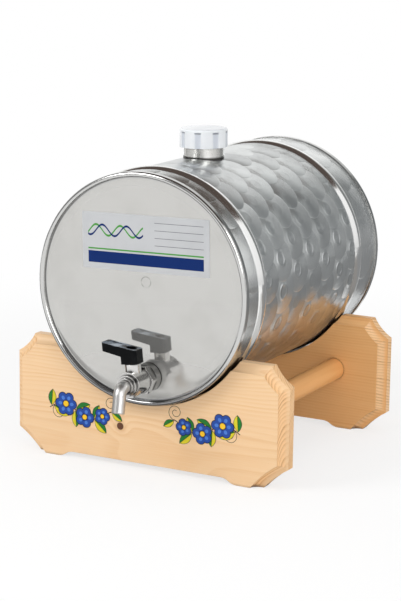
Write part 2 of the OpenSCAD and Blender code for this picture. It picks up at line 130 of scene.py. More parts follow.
def turnPlace(tree, vector, turn, scale=(1, 1, 1)):
    return put(tree, "ShaderNodeMapping", {"Vector": vector, "Rotation": turn, "Scale": scale}).outputs[0]


def streaks(tree, vector, scale, detail=2.0, roughness=0.5, turn=(0, 0, 0)):
    return noise(tree, turnPlace(tree, vector, turn, scale), 1.0, detail, roughness)


def objectPlace(tree):
    return put(tree, "ShaderNodeTexCoord").outputs["Object"]


def surfaceNormal(tree):
    return put(tree, "ShaderNodeNewGeometry").outputs["Normal"]


def useGroup(tree, group, **ins):
    return put(tree, "ShaderNodeGroup", ins, node_tree=group).outputs


def startGroup(name, ins, outs):
    tree = bpy.data.node_groups.new(name, "ShaderNodeTree")
    for title, kind, value in ins:
        socket = tree.interface.new_socket(title, in_out="INPUT", socket_type="NodeSocket" + kind)
        socket.default_value = value
    for title, kind in outs:
        tree.interface.new_socket(title, in_out="OUTPUT", socket_type="NodeSocket" + kind)
    return tree, tree.nodes.new("NodeGroupInput").outputs, tree.nodes.new("NodeGroupOutput").inputs


def giveOut(tree, outs, **sockets):
    for key, socket in sockets.items():
        tree.links.new(socket, outs[key])


def startMaterial(name, fixed):
    material = bpy.data.materials.new(name)
    material.use_nodes = True
    tree = material.node_tree
    shader = tree.nodes["Principled BSDF"]
    for key, value in fixed.items():
        shader.inputs[key].default_value = value
    return material, tree, shader


def feed(tree, shader, **sockets):
    names = {"colour": "Base Color", "roughness": "Roughness", "normal": "Normal", "metallic": "Metallic",
             "coat": "Coat Weight"}
    for key, socket in sockets.items():
        tree.links.new(socket, shader.inputs[names[key]])


def bump(tree, height, normal=None):
    ins = {"Height": height, "Strength": 1.0, "Distance": 1.0}
    if normal:
        ins["Normal"] = normal
    return put(tree, "ShaderNodeBump", ins).outputs[0]


def easedEdges(tree, radius):
    return put(tree, "ShaderNodeBevel", {"Radius": radius}, samples=4).outputs[0]


# painted shade: darkens colour where other surfaces are near, in corners, creases, gaps and contacts
def nookShade(tree, reach, clear=0.85, shut=0.25):
    openness = put(tree, "ShaderNodeAmbientOcclusion", {"Distance": reach}, samples=8).outputs["AO"]
    return fadeOut(tree, openness, shut, clear)


# shader groups

swirl = {
    "around": 22,            # discs round the shell
    "pitch": 31.6 * mm,      # from one hoop of discs to the next
    "discRadius": 21.5 * mm,
    "firstHoop": 143.6 * mm,  # a hoop of discs, from the front rim
    "firstAngle": math.radians(75.6),
    "seedStep": 3.7,
    "markRadius": 6.8 * mm,  # ring left by the grinding pin
    "markWidth": 1.6 * mm,
    "edgeWidth": 1.1 * mm,
    "ripple": 0.85 * mm,     # grinding lines
    "tilt": 0.08,
    "dome": 0.14,
    "rippleSlope": 0.13,
    "edgeSlope": 0.26,
    "markSlope": 0.828,
    "markAngles": (math.radians(40), math.radians(85)),  # faint on top, clear on the flank
    "markFaint": 0.12,
    "markLeast": 0.3,        # on the disc that took the least of it
    "crests": (35.5 * mm, 252 * mm),  # of the smooth hoops, from the front rim
    "crestHalf": 8 * mm,
    "crestSoft": 1 * mm,
    "flare": 0.12,           # of the band in front of the first hoop
    "bandShare": 0.65,       # grinding left outside the hoops
}


def makeSwirlGroup(s):
    outs = [("Normal", "Vector"), ("Tone", "Float"), ("Edge", "Float"), ("Mark", "Float"), ("Share", "Float")]
    tree, ins, outs = startGroup("swirlGrind", [("Vector", "Vector", (0, 0, 0))], outs)
    place = splitXYZ(tree, ins["Vector"])
    angle = calc(tree, "ARCTAN2", place[0], calc(tree, "SUBTRACT", place[2], axisHeight))
    step = 2 * math.pi / s["around"]
    rowPlace = calc(tree, "DIVIDE", calc(tree, "SUBTRACT", angle, s["firstAngle"]), step)
    fromHoop = calc(tree, "SUBTRACT", place[1], frontRimY + s["firstHoop"])
    hoopPlace = calc(tree, "DIVIDE", fromHoop, s["pitch"])
    fromFront = calc(tree, "SUBTRACT", place[1], frontRimY)
    firstCrest, lastCrest = s["crests"]
    half, soft = s["crestHalf"], s["crestSoft"]
    smooth = [fade(tree, apart(tree, fromFront, crest), half - soft, half + soft) for crest in s["crests"]]
    between = times(tree, fade(tree, fromFront, firstCrest, firstCrest + half),
                    fadeOut(tree, fromFront, lastCrest - half, lastCrest))
    share = times(tree, scaled(tree, between, 1.0 - s["bandShare"], s["bandShare"]), *smooth)
    found = None
    for hoopStep in (1, 0):  # the disc ground last lies on top
        hoop = calc(tree, "ADD", calc(tree, "FLOOR", hoopPlace), hoopStep)
        shift = times(tree, calc(tree, "FLOORED_MODULO", hoop, 2.0), 0.5)
        along = times(tree, calc(tree, "SUBTRACT", hoopPlace, hoop), s["pitch"])
        shifted = calc(tree, "SUBTRACT", rowPlace, shift)
        for rowStep in (1, 0):
            row = calc(tree, "ADD", calc(tree, "FLOOR", shifted), rowStep)
            across = times(tree, calc(tree, "SUBTRACT", shifted, row), step * rimRadius)
            seed = scaled(tree, hoop, s["seedStep"], calc(tree, "FLOORED_MODULO", row, float(s["around"])))
            disc = joinXYZ(tree, along, across, seed)
            reach = vectorCalc(tree, "LENGTH", joinXYZ(tree, along, across))
            inside = calc(tree, "LESS_THAN", reach, s["discRadius"])
            found = disc if found is None else mixVector(tree, inside, found, disc)
    along, across, seed = splitXYZ(tree, found)
    flat = joinXYZ(tree, along, across)
    reach = vectorCalc(tree, "LENGTH", flat)
    chance = chanceOf(tree, seed)
    edge = fade(tree, reach, s["discRadius"] - s["edgeWidth"], s["discRadius"])
    aside = fade(tree, calc(tree, "ABSOLUTE", angle), *s["markAngles"], s["markFaint"], 1.0)
    markShare = times(tree, between, aside, fade(tree, chance["Value"], 0.0, 1.0, s["markLeast"], 1.0))
    fromMark = calc(tree, "DIVIDE", calc(tree, "SUBTRACT", reach, s["markRadius"]), s["markWidth"])
    bell = calc(tree, "EXPONENT", times(tree, fromMark, fromMark, -1.0))
    mark = times(tree, fromMark, bell, s["markSlope"], markShare)
    wave = calc(tree, "COSINE", times(tree, reach, 2 * math.pi / s["ripple"]))
    slope = scaled(tree, reach, s["dome"] / s["discRadius"], mark)
    slope = scaled(tree, wave, s["rippleSlope"], slope)
    slope = scaled(tree, edge, s["edgeSlope"], slope)
    outward = scaleVector(tree, vectorCalc(tree, "NORMALIZE", flat), slope)
    lean = vectorCalc(tree, "SUBTRACT", chance["Color"], (0.5, 0.5, 0.5))
    outward = vectorCalc(tree, "ADD", outward, scaleVector(tree, lean, s["tilt"]))
    outward = splitXYZ(tree, scaleVector(tree, outward, share))
    # back from the flat sheet to the round barrel
    roundWay = joinXYZ(tree, calc(tree, "COSINE", angle), 0.0, times(tree, calc(tree, "SINE", angle), -1.0))
    flared = fadeOut(tree, fromFront, firstCrest - half, firstCrest, s["flare"])
    frontWay = joinXYZ(tree, 0.0, calc(tree, "SUBTRACT", outward[0], flared))
    turned = vectorCalc(tree, "ADD", scaleVector(tree, roundWay, outward[1]), frontWay)
    turned = put(tree, "ShaderNodeVectorTransform", {0: turned}, vector_type="VECTOR",
                 convert_from="OBJECT", convert_to="WORLD").outputs[0]
    normal = vectorCalc(tree, "NORMALIZE", vectorCalc(tree, "ADD", surfaceNormal(tree), turned))
    giveOut(tree, outs, Normal=normal, Tone=chance["Value"], Edge=times(tree, edge, share),
            Mark=times(tree, fadeOut(tree, fromMark, -0.5, 0.5), markShare), Share=share)
    return tree


handling = {
    "smudge": (0.42, 0.72),
    "lines": {"scale": (60, 60, 1900), "turn": (0.3, 0.5, 0.2)},
    "crossLines": {"scale": (1500, 70, 50), "turn": (-0.4, 0.2, 0.7)},
}


def makeHandlingGroup(h):
    ins = [("Vector", "Vector", (0, 0, 0)), ("Size", "Float", 25.0), ("Hairlines", "Float", 1.0)]
    tree, ins, outs = startGroup("handlingMarks", ins, [("Smudge", "Float"), ("Height", "Float")])
    smudge = fade(tree, noise(tree, ins["Vector"], ins["Size"], 4.0, 0.6), *h["smudge"])
    both = [streaks(tree, ins["Vector"], **h[way]) for way in ("lines", "crossLines")]
    giveOut(tree, outs, Smudge=smudge, Height=times(tree, calc(tree, "ADD", *both), ins["Hairlines"]))
    return tree


pine = {
    "early": (0.86, 0.585, 0.335, 1), "late": (0.785, 0.485, 0.245, 1),
    "earlyEnd": (0.93, 0.60, 0.30, 1), "lateEnd": (0.50, 0.22, 0.06, 1), "endFacing": (0.2, 0.6),
    "lateRise": (0.25, 0.86), "lateFall": (0.9, 1.0), "lateLeast": 0.35,  # within a year
    "wander": 16 * mm, "wanderScale": (5, 16, 16),
    "fibre": (0.89, 0.66, 0.42, 1), "fibreScale": (22, 900, 900), "fibreFade": (0.35, 0.75, 0.0, 0.35),
    "broad": (0.83, 0.53, 0.275, 1), "broadScale": (4, 14, 14), "broadFade": (0.35, 0.7, 0.0, 0.3),
    "knot": ((0.07, 0.02, 0.006, 1), (0.17, 0.055, 0.016, 1)), "knotRings": 3.0, "knotSwell": -0.18,
    "knotEdge": (0.9, 1.05), "halo": (0.50, 0.25, 0.09, 1), "haloReach": (0.9, 2.4), "haloShare": 0.25,
    "roughness": 0.42, "lateRoughness": -0.1, "fibreRoughness": 0.12,
    "fibreHeight": 0.05 * mm, "lateHeight": 0.04 * mm,
}


def makePineGroup(p):
    ins = [("Vector", "Vector", (0, 0, 0)), ("Pith", "Vector", (0, 0, 0)), ("Ring", "Float", 5 * mm),
           ("Knot", "Vector", (0, 0, 0)), ("KnotSize", "Float", 0.0), ("EndGrain", "Float", 0.0)]
    outs = [("Colour", "Color"), ("Roughness", "Float"), ("Height", "Float"), ("Ends", "Float")]
    tree, ins, outs = startGroup("pineGrain", ins, outs)
    # the grain runs along x, the rings lie round the pith
    fromKnot = vectorCalc(tree, "LENGTH", offset(tree, ins["Vector"], ins["Knot"], (1, 0, 1)))
    knotReach = calc(tree, "DIVIDE", fromKnot, calc(tree, "MAXIMUM", ins["KnotSize"], 1e-5))
    swell = calc(tree, "EXPONENT", times(tree, knotReach, knotReach, p["knotSwell"]))
    wander = calc(tree, "SUBTRACT", streaks(tree, ins["Vector"], p["wanderScale"]), 0.5)
    fromPith = vectorCalc(tree, "LENGTH", offset(tree, ins["Vector"], ins["Pith"], (0, 1, 1)))
    reach = calc(tree, "ADD", fromPith, times(tree, wander, p["wander"]))
    reach = calc(tree, "ADD", reach, times(tree, swell, ins["KnotSize"]))
    year = calc(tree, "DIVIDE", reach, ins["Ring"])
    season = calc(tree, "FRACT", year)
    yearTone = chanceOf(tree, calc(tree, "FLOOR", year))["Value"]
    late = times(tree, fade(tree, season, *p["lateRise"]), fadeOut(tree, season, *p["lateFall"]),
                 fade(tree, yearTone, 0.0, 1.0, p["lateLeast"], 1.0))
    fibre = streaks(tree, ins["Vector"], p["fibreScale"], 3.0, 0.6)
    broad = streaks(tree, ins["Vector"], p["broadScale"])
    facing = calc(tree, "ABSOLUTE", splitXYZ(tree, surfaceNormal(tree))[0])
    ends = times(tree, fade(tree, facing, *p["endFacing"]), ins["EndGrain"])
    colour = mixColour(tree, late, mixColour(tree, ends, p["early"], p["earlyEnd"]),
                       mixColour(tree, ends, p["late"], p["lateEnd"]))
    colour = mixColour(tree, fade(tree, fibre, *p["fibreFade"]), colour, p["fibre"])
    colour = mixColour(tree, fade(tree, broad, *p["broadFade"]), colour, p["broad"])
    colour = mixColour(tree, fadeOut(tree, knotReach, *p["haloReach"], p["haloShare"]), colour, p["halo"])
    knotColour = mixColour(tree, calc(tree, "FRACT", times(tree, knotReach, p["knotRings"])), *p["knot"])
    colour = mixColour(tree, fadeOut(tree, knotReach, *p["knotEdge"]), colour, knotColour)
    rough = scaled(tree, fibre, p["fibreRoughness"], scaled(tree, late, p["lateRoughness"], p["roughness"]))
    height = scaled(tree, late, p["lateHeight"], times(tree, fibre, p["fibreHeight"]))
    giveOut(tree, outs, Colour=colour, Ends=ends, Roughness=rough, Height=height)
    return tree


swirlGroup = makeSwirlGroup(swirl)
handlingGroup = makeHandlingGroup(handling)
pineGroup = makePineGroup(pine)
print("shader groups made")


# finishes

def startHandled(name, fixed, look):
    material, tree, shader = startMaterial(name, fixed)
    place = objectPlace(tree)
    marks = useGroup(tree, handlingGroup, Vector=place, Size=look["smudgeSize"], Hairlines=look["hairlines"])
    return material, tree, shader, place, marks


def dress(tree, shader, look, colour, mask, height, **more):
    rough = scaled(tree, mask, look["rougher"], look["roughness"])
    eased = easedEdges(tree, look["eased"]) if "eased" in look else None
    relief = times(tree, height, look["relief"])
    feed(tree, shader, colour=colour, roughness=rough, normal=bump(tree, relief, eased), **more)


shell = {
    "smudgeSize": 14.0, "hairlines": 1.0,
    "tones": ((0.615, 0.635, 0.635, 1), (0.85, 0.875, 0.87, 1)),  # from disc to disc
    "hoop": (0.94, 0.94, 0.93, 1),
    "mark": (0.42, 0.44, 0.45, 1), "markShare": 0.4,
    "edge": (0.95, 0.96, 0.96, 1), "edgeShare": 0.6,
    "foot": (0.26, 0.28, 0.31, 1), "footShadeShare": 0.5,  # painted shade, darker towards the cradle
    "footShadeRise": (axisHeight - 0.6 * rimRadius, axisHeight - 0.2 * rimRadius),
    "roughness": 0.14, "rougher": 0.04, "groundRougher": 0.14,
}


def swirledSteel(look):
    material, tree, shader, place, marks = startHandled("swirledSteel", {"Metallic": 1.0}, look)
    ground = useGroup(tree, swirlGroup, Vector=place)
    colour = mixColour(tree, ground["Tone"], *look["tones"])
    colour = mixColour(tree, ground["Share"], look["hoop"], colour)
    colour = mixColour(tree, times(tree, ground["Mark"], look["markShare"]), colour, look["mark"])
    colour = mixColour(tree, times(tree, ground["Edge"], look["edgeShare"]), colour, look["edge"])
    # painted shade: the lower flank is darkened towards the cradle
    foot = fadeOut(tree, splitXYZ(tree, place)[2], *look["footShadeRise"], look["footShadeShare"])
    colour = mixColour(tree, foot, colour, look["foot"])
    rough = scaled(tree, marks["Smudge"], look["rougher"], look["roughness"])
    rough = scaled(tree, ground["Share"], look["groundRougher"], rough)
    feed(tree, shader, colour=colour, roughness=rough, normal=ground["Normal"])
    return material


ends = {
    "smudgeSize": 18.0, "hairlines": 0.4,
    "tones": ((0.595, 0.59, 0.57, 1), (0.56, 0.555, 0.535, 1)),
    "rim": (0.64, 0.64, 0.63, 1), "rimNookShade": (0.2, 0.198, 0.195, 1), "rimWidth": 6 * mm, "rimSoft": 1 * mm,
    "rimLowShade": (0.2, 0.2, 0.205, 1), "rimLowShadeShare": 0.8,  # painted shade, darker towards the bottom where the rim sits over the wood
    "rimLowShadeRise": (-rimRadius, -0.45 * rimRadius),
    "rimRoughness": 0.14, "rougher": 0.03,
    "waveSize": 14.0, "waveHeight": 0.2 * mm,
    "coveWidth": 13 * mm, "coveHeight": 1.7 * mm,  # the flat rises softly to the rim
    "relief": 0.0015 * mm, "eased": 0.4 * mm,
}
# a rubbed ring on the front end
ringMark = {"place": (4.6 * mm, 0, 183.5 * mm), "radius": 5 * mm, "width": 0.7 * mm,
            "colour": (0.22, 0.22, 0.21, 1), "patchSize": 260.0, "patches": (0.35, 0.6, 0.1, 0.7)}
# the sheet round the tap's boss and under it is dulled by drips
drip = {"reach": (40 * mm, 85 * mm), "rise": (-14 * mm, 22 * mm), "roughness": 0.15, "metallic": -0.25}


def endSteel(name, mirror, dullness, marked, look):
    material, tree, shader, place, marks = startHandled(name, {}, look)
    colour = mixColour(tree, marks["Smudge"], *look["tones"])
    if marked:
        fromRing = vectorCalc(tree, "LENGTH", offset(tree, place, ringMark["place"], (1, 0, 1)))
        ring = fadeOut(tree, apart(tree, fromRing, ringMark["radius"]), 0.0, ringMark["width"])
        patchy = fade(tree, noise(tree, place, ringMark["patchSize"], 1.0), *ringMark["patches"])
        colour = mixColour(tree, times(tree, ring, patchy), colour, ringMark["colour"])
    fromAxis = offset(tree, place, (0, 0, axisHeight), (1, 0, 1))
    reach = vectorCalc(tree, "LENGTH", fromAxis)
    rimStart = rimRadius - look["rimWidth"]
    rim = fade(tree, reach, rimStart - look["rimSoft"], rimStart)
    # painted shade on the rim: darker in creases and gaps, and towards the bottom over the wood
    rimColour = mixColour(tree, nookShade(tree, 6 * mm, 0.9, 0.3), look["rim"], look["rimNookShade"])
    rimLowShade = fadeOut(tree, splitXYZ(tree, fromAxis)[2], *look["rimLowShadeRise"], look["rimLowShadeShare"])
    rimColour = mixColour(tree, rimLowShade, rimColour, look["rimLowShade"])
    colour = mixColour(tree, rim, colour, rimColour)
    rough = scaled(tree, rim, look["rimRoughness"] - dullness, dullness)
    rough = scaled(tree, marks["Smudge"], look["rougher"], rough)
    metallic = scaled(tree, rim, 1.0 - mirror, mirror)
    if marked:
        bossLow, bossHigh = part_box("tap_boss")
        fromBoss = offset(tree, place, tuple((bossLow + bossHigh) / 2), (1, 0, 1))
        dulled = times(tree, fadeOut(tree, vectorCalc(tree, "LENGTH", fromBoss), *drip["reach"]),
                       fadeOut(tree, splitXYZ(tree, fromBoss)[2], *drip["rise"]),
                       calc(tree, "SUBTRACT", 1.0, rim))
        rough = scaled(tree, dulled, drip["roughness"], rough)
        metallic = scaled(tree, dulled, drip["metallic"], metallic)
    waves = times(tree, noise(tree, place, look["waveSize"], 1.0),
                  scaled(tree, rim, -look["waveHeight"], look["waveHeight"]))
    intoCove = calc(tree, "MAXIMUM", calc(tree, "SUBTRACT", reach, rimStart - look["coveWidth"]), 0.0)
    intoCove = calc(tree, "MINIMUM", calc(tree, "DIVIDE", intoCove, look["coveWidth"]), 1.0)
    height = scaled(tree, times(tree, intoCove, intoCove), look["coveHeight"], waves)
    height = scaled(tree, marks["Height"], look["relief"], height)
    feed(tree, shader, colour=colour, roughness=rough, metallic=metallic,
         normal=bump(tree, height, easedEdges(tree, look["eased"])))
    return material


neck = {
    "smudgeSize": 60.0, "hairlines": 0.5, "turning": (25, 25, 2200), "turnedShare": 3.0,
    "tones": ((0.66, 0.655, 0.63, 1), (0.82, 0.815, 0.79, 1)), "nookShade": (0.05, 0.048, 0.045, 1),
    # a nearly black line at the neck's foot, where it meets the shell
    "weld": (0.07, 0.067, 0.064, 1),
    "weldRise": (axisHeight + rimRadius - 0.4 * mm, axisHeight + rimRadius + 0.6 * mm),
    "roughness": 0.24, "rougher": 0.08, "relief": 0.002 * mm,
}


def neckSteel(look):
    material, tree, shader, place, marks = startHandled("neckSteel", {"Metallic": 1.0}, look)
    turned = streaks(tree, place, look["turning"])
    colour = mixColour(tree, turned, *look["tones"])
    # painted shade in the creases round the neck
    colour = mixColour(tree, nookShade(tree, 4 * mm), colour, look["nookShade"])
    # nearly black at the neck's foot, where it meets the shell
    weld = fadeOut(tree, splitXYZ(tree, place)[2], *look["weldRise"])
    colour = mixColour(tree, weld, colour, look["weld"])
    height = scaled(tree, turned, look["turnedShare"], marks["Height"])
    dress(tree, shader, look, colour, marks["Smudge"], height)
    return material


boss = {
    "smudgeSize": 90.0, "hairlines": 1.0, "turning": (30, 2600, 30),
    "tones": ((0.30, 0.296, 0.287, 1), (0.42, 0.414, 0.403, 1)),
    "seam": (0.012, 0.011, 0.010, 1), "seamReach": (0.8 * mm, 2.2 * mm),
    "roughness": 0.3, "rougher": 0.1, "relief": 0.01 * mm,
}


def bossSteel(look):
    material, tree, shader, place, marks = startHandled("bossSteel", {"Metallic": 1.0}, look)
    turned = streaks(tree, place, look["turning"])
    colour = mixColour(tree, turned, *look["tones"])
    seam = fadeOut(tree, apart(tree, splitXYZ(tree, place)[1], lidFace), *look["seamReach"])
    colour = mixColour(tree, seam, colour, look["seam"])
    dress(tree, shader, look, colour, marks["Smudge"], turned)
    return material


tap = {
    "smudgeSize": 90.0, "hairlines": 0.6,
    "tones": ((0.72, 0.71, 0.695, 1), (0.62, 0.61, 0.60, 1)), "nookShade": (0.04, 0.038, 0.036, 1),
    "roughness": 0.1, "rougher": 0.06, "relief": 0.002 * mm, "eased": 0.4 * mm,
}


def tapMetal(name, look):
    material, tree, shader, _, marks = startHandled(name, {"Metallic": 1.0}, look)
    colour = mixColour(tree, marks["Smudge"], *look["tones"])
    # painted shade in the creases between the tap's parts
    colour = mixColour(tree, nookShade(tree, 5 * mm, 0.92, 0.35), colour, look["nookShade"])
    dress(tree, shader, look, colour, marks["Smudge"], marks["Height"])
    return material


cap = {
    "smudgeSize": 80.0, "hairlines": 0.5,
    "tones": ((0.88, 0.91, 0.95, 1), (0.95, 0.97, 0.99, 1)), "mottleSize": 120.0,
    # painted shade: the flutes darker and bluer, a dark arc under the top band at each flute, the top face
    # greyer, the creases darker
    "flute": (0.70, 0.74, 0.81, 1), "fluteDepth": (0.2 * mm, 1.1 * mm),  # in from the ribs
    "browShadow": (0.20, 0.22, 0.25, 1), "top": (0.66, 0.69, 0.73, 1), "nookShade": (0.34, 0.37, 0.42, 1),
    # down from the top
    "topDepth": (0.3 * mm, 0.8 * mm), "sideDepth": (2.8 * mm, 3.4 * mm), "browDepth": (3.4 * mm, 5 * mm),
    "roughness": 0.12, "rougher": 0.08, "relief": 0.003 * mm, "eased": 0.4 * mm,
}


def capPlastic(look):
    fixed = {"Transmission Weight": 0.08, "IOR": 1.49, "Coat Weight": 0.4, "Coat Roughness": 0.05}
    material, tree, shader, place, marks = startHandled("capPlastic", fixed, look)
    low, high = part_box("filler_cap")
    reach = vectorCalc(tree, "LENGTH", offset(tree, place, tuple((low + high) / 2), (1, 1, 0)))
    flute = fade(tree, calc(tree, "SUBTRACT", (high.x - low.x) / 2, reach), *look["fluteDepth"])
    depth = calc(tree, "SUBTRACT", high.z, splitXYZ(tree, place)[2])
    fluteShadeMask = times(tree, flute, fade(tree, depth, *look["sideDepth"]))
    browShadow = times(tree, fluteShadeMask, fadeOut(tree, depth, *look["browDepth"]))
    colour = mixColour(tree, noise(tree, place, look["mottleSize"], 2.0), *look["tones"])
    # painted shade in the flutes, under the top band, on the top face and in the creases
    colour = mixColour(tree, fluteShadeMask, colour, look["flute"])
    colour = mixColour(tree, browShadow, colour, look["browShadow"])
    colour = mixColour(tree, fadeOut(tree, depth, *look["topDepth"]), colour, look["top"])
    colour = mixColour(tree, nookShade(tree, 3 * mm, 0.98, 0.55), colour, look["nookShade"])
    dress(tree, shader, look, colour, marks["Smudge"], marks["Height"])
    return material


seats = {
    "smudgeSize": 120.0, "hairlines": 1.0, "tones": ((0.86, 0.86, 0.84, 1), (0.78, 0.78, 0.75, 1)),
    "roughness": 0.42, "rougher": 0.12, "relief": 0.004 * mm,
}


def whitePlastic(look):
    material, tree, shader, _, marks = startHandled("whitePlastic", {"IOR": 1.4}, look)
    colour = mixColour(tree, marks["Smudge"], *look["tones"])
    dress(tree, shader, look, colour, marks["Smudge"], marks["Height"])
    return material


seals = {
    "grainSize": 900.0, "tones": ((0.018, 0.018, 0.019, 1), (0.04, 0.04, 0.042, 1)),
    "roughness": 0.55, "rougher": 0.15, "relief": 0.03 * mm,
}


def sealRubber(look):
    material, tree, shader = startMaterial("sealRubber", {"Specular IOR Level": 0.35})
    grain = noise(tree, objectPlace(tree), look["grainSize"])
    dress(tree, shader, look, mixColour(tree, grain, *look["tones"]), grain, grain)
    return material


lever = {
    "smudgeSize": 70.0, "hairlines": 0.6,
    "tones": ((0.002, 0.0024, 0.003, 1), (0.006, 0.0066, 0.0075, 1)),
    # painted highlight: faces that look up are painted lighter in patches, brightest where the thumb sits
    "wearAndSheen": (0.14, 0.175, 0.22, 1), "sheenFacing": (0.5, 0.9), "patchSize": 110.0, "patches": (0.4, 0.62),
    "thumbHighlight": (0.50, 0.57, 0.66, 1), "thumbPlace": 0.36, "thumbReach": (1.5 * mm, 7 * mm), "thumbShare": 0.9,
    "roughness": 0.1, "rougher": 0.06, "relief": 0.003 * mm, "eased": 0.9 * mm,
}


def blackPlastic(look):
    fixed = {"Specular IOR Level": 0.08, "Coat Roughness": 0.1}
    material, tree, shader, place, marks = startHandled("blackPlastic", fixed, look)
    colour = mixColour(tree, marks["Smudge"], *look["tones"])
    # painted highlight on the faces that look up, in patches and brightest at the thumb
    wearAndSheen = fade(tree, splitXYZ(tree, surfaceNormal(tree))[2], *look["sheenFacing"])
    patchy = fade(tree, noise(tree, place, look["patchSize"], 2.0), *look["patches"])
    colour = mixColour(tree, times(tree, wearAndSheen, patchy), colour, look["wearAndSheen"])
    low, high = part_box("handle_lever")
    fromThumb = apart(tree, splitXYZ(tree, place)[0], low.x + look["thumbPlace"] * (high.x - low.x))
    thumbHighlight = times(tree, wearAndSheen, fadeOut(tree, fromThumb, *look["thumbReach"], look["thumbShare"]))
    colour = mixColour(tree, thumbHighlight, colour, look["thumbHighlight"])
    dress(tree, shader, look, colour, marks["Smudge"], marks["Height"], coat=wearAndSheen)
    return material


wood = {
    "endStain": (1.0, 0.97, 0.95, 1),  # the ends take less of the stain and its painted shade
    "nookShade": (0.10, 0.045, 0.015, 1), "eased": 0.8 * mm,
}
# the rails and the rear board take a darker, more orange stain, partly a real stain and partly painted shade
# from sitting in the barrel's shade
railTurn, railStainAndShade = (0, 0, math.radians(90)), (1.0, 0.75, 0.47, 1)
pines = {
    "frontPine": {"Pith": (0, -20 * mm, 12 * mm), "Ring": 2.5 * mm, "EndGrain": 1.0,
                  "Knot": (-27.5 * mm, boardFace, 39 * mm), "KnotSize": 3.7 * mm},
    "rearPine": {"Pith": (0, 100 * mm, -50 * mm), "Ring": 2.9 * mm, "EndGrain": 1.0,
                 "stain": (1.06, 0.87, 0.62, 1)},
    "leftPine": {"Pith": (0, 60 * mm, 40 * mm), "Ring": 4.5 * mm, "turn": railTurn, "stain": railStainAndShade},
    "rightPine": {"Pith": (0, -120 * mm, 50 * mm), "Ring": 4.8 * mm, "turn": railTurn, "stain": railStainAndShade},
}


def pineWood(name, turn=(0, 0, 0), stain=(1, 1, 1, 1), **grown):
    material, tree, shader = startMaterial(name, {"Coat Weight": 0.12, "Coat Roughness": 0.25})
    grain = useGroup(tree, pineGroup, Vector=turnPlace(tree, objectPlace(tree), turn), **grown)
    stainAndShadeHere = mixColour(tree, grain["Ends"], stain, wood["endStain"])
    colour = mixColour(tree, 1.0, grain["Colour"], stainAndShadeHere, "MULTIPLY")
    # painted shade in the joints and where the wood meets the barrel and the floor
    colour = mixColour(tree, nookShade(tree, 5 * mm, 0.75, 0.25), colour, wood["nookShade"])
    feed(tree, shader, colour=colour, roughness=grain["Roughness"],
         normal=bump(tree, grain["Height"], easedEdges(tree, wood["eased"])))
    return material


label = {
    "height": 53 * mm,
    "bandLow": -21 * mm, "bandHigh": -10 * mm, "bandHalf": 61 * mm,
    "lineLow": -8.4 * mm, "lineHigh": -7.0 * mm,
    "waveMid": 10 * mm, "waveRise": 5 * mm, "waveLength": 26 * mm, "waveHalf": 1.0 * mm, "waveEnd": -2 * mm,
    "wavePhase": 1.6,  # of the green wave behind the navy one
    "rules": (20 * mm, 13 * mm, 6 * mm, -1 * mm), "ruleHalf": 0.22 * mm, "ruleStart": 10 * mm,
    "soft": 0.12 * mm,
    "film": ((0.52, 0.53, 0.545, 1), (0.49, 0.50, 0.515, 1)),
    "navy": (0.0005, 0.02, 0.13, 1), "green": (0.07, 0.30, 0.05, 1), "grey": (0.10, 0.105, 0.12, 1),
    "roughness": 0.3, "rougher": 0.08, "relief": 0.004 * mm,
}


def labelFilm(look):
    material, tree, shader = startMaterial("labelFilm", {"Specular IOR Level": 0.15})
    low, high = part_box("label")
    tilt = math.atan2((high.z - low.z) - look["height"], high.x - low.x)
    place = vectorCalc(tree, "SUBTRACT", objectPlace(tree), tuple((low + high) / 2))
    place = turnPlace(tree, place, (0, tilt, 0))
    across, _, up = splitXYZ(tree, place)

    def between(value, start, end):
        soft = look["soft"]
        return times(tree, fade(tree, value, start - soft, start + soft),
                     fadeOut(tree, value, end - soft, end + soft))

    def paint(colour, ink, *masks):
        return mixColour(tree, times(tree, *masks), colour, look[ink])

    marks = useGroup(tree, handlingGroup, Vector=place, Size=30.0, Hairlines=0.3)
    colour = mixColour(tree, marks["Smudge"], *look["film"])
    whole = between(across, -look["bandHalf"], look["bandHalf"])
    colour = paint(colour, "navy", between(up, look["bandLow"], look["bandHigh"]), whole)
    colour = paint(colour, "green", between(up, look["lineLow"], look["lineHigh"]), whole)
    for ink, phase in (("green", look["wavePhase"]), ("navy", 0.0)):
        swing = calc(tree, "SINE", scaled(tree, across, 2 * math.pi / look["waveLength"], phase))
        away = calc(tree, "SUBTRACT", up, scaled(tree, swing, look["waveRise"], look["waveMid"]))
        colour = paint(colour, ink, between(away, -look["waveHalf"], look["waveHalf"]),
                       between(across, -look["bandHalf"], look["waveEnd"]))
    for rule in look["rules"]:
        colour = paint(colour, "grey", between(up, rule - look["ruleHalf"], rule + look["ruleHalf"]),
                       between(across, look["ruleStart"], look["bandHalf"]))
    dress(tree, shader, look, colour, marks["Smudge"], marks["Height"])
    return material


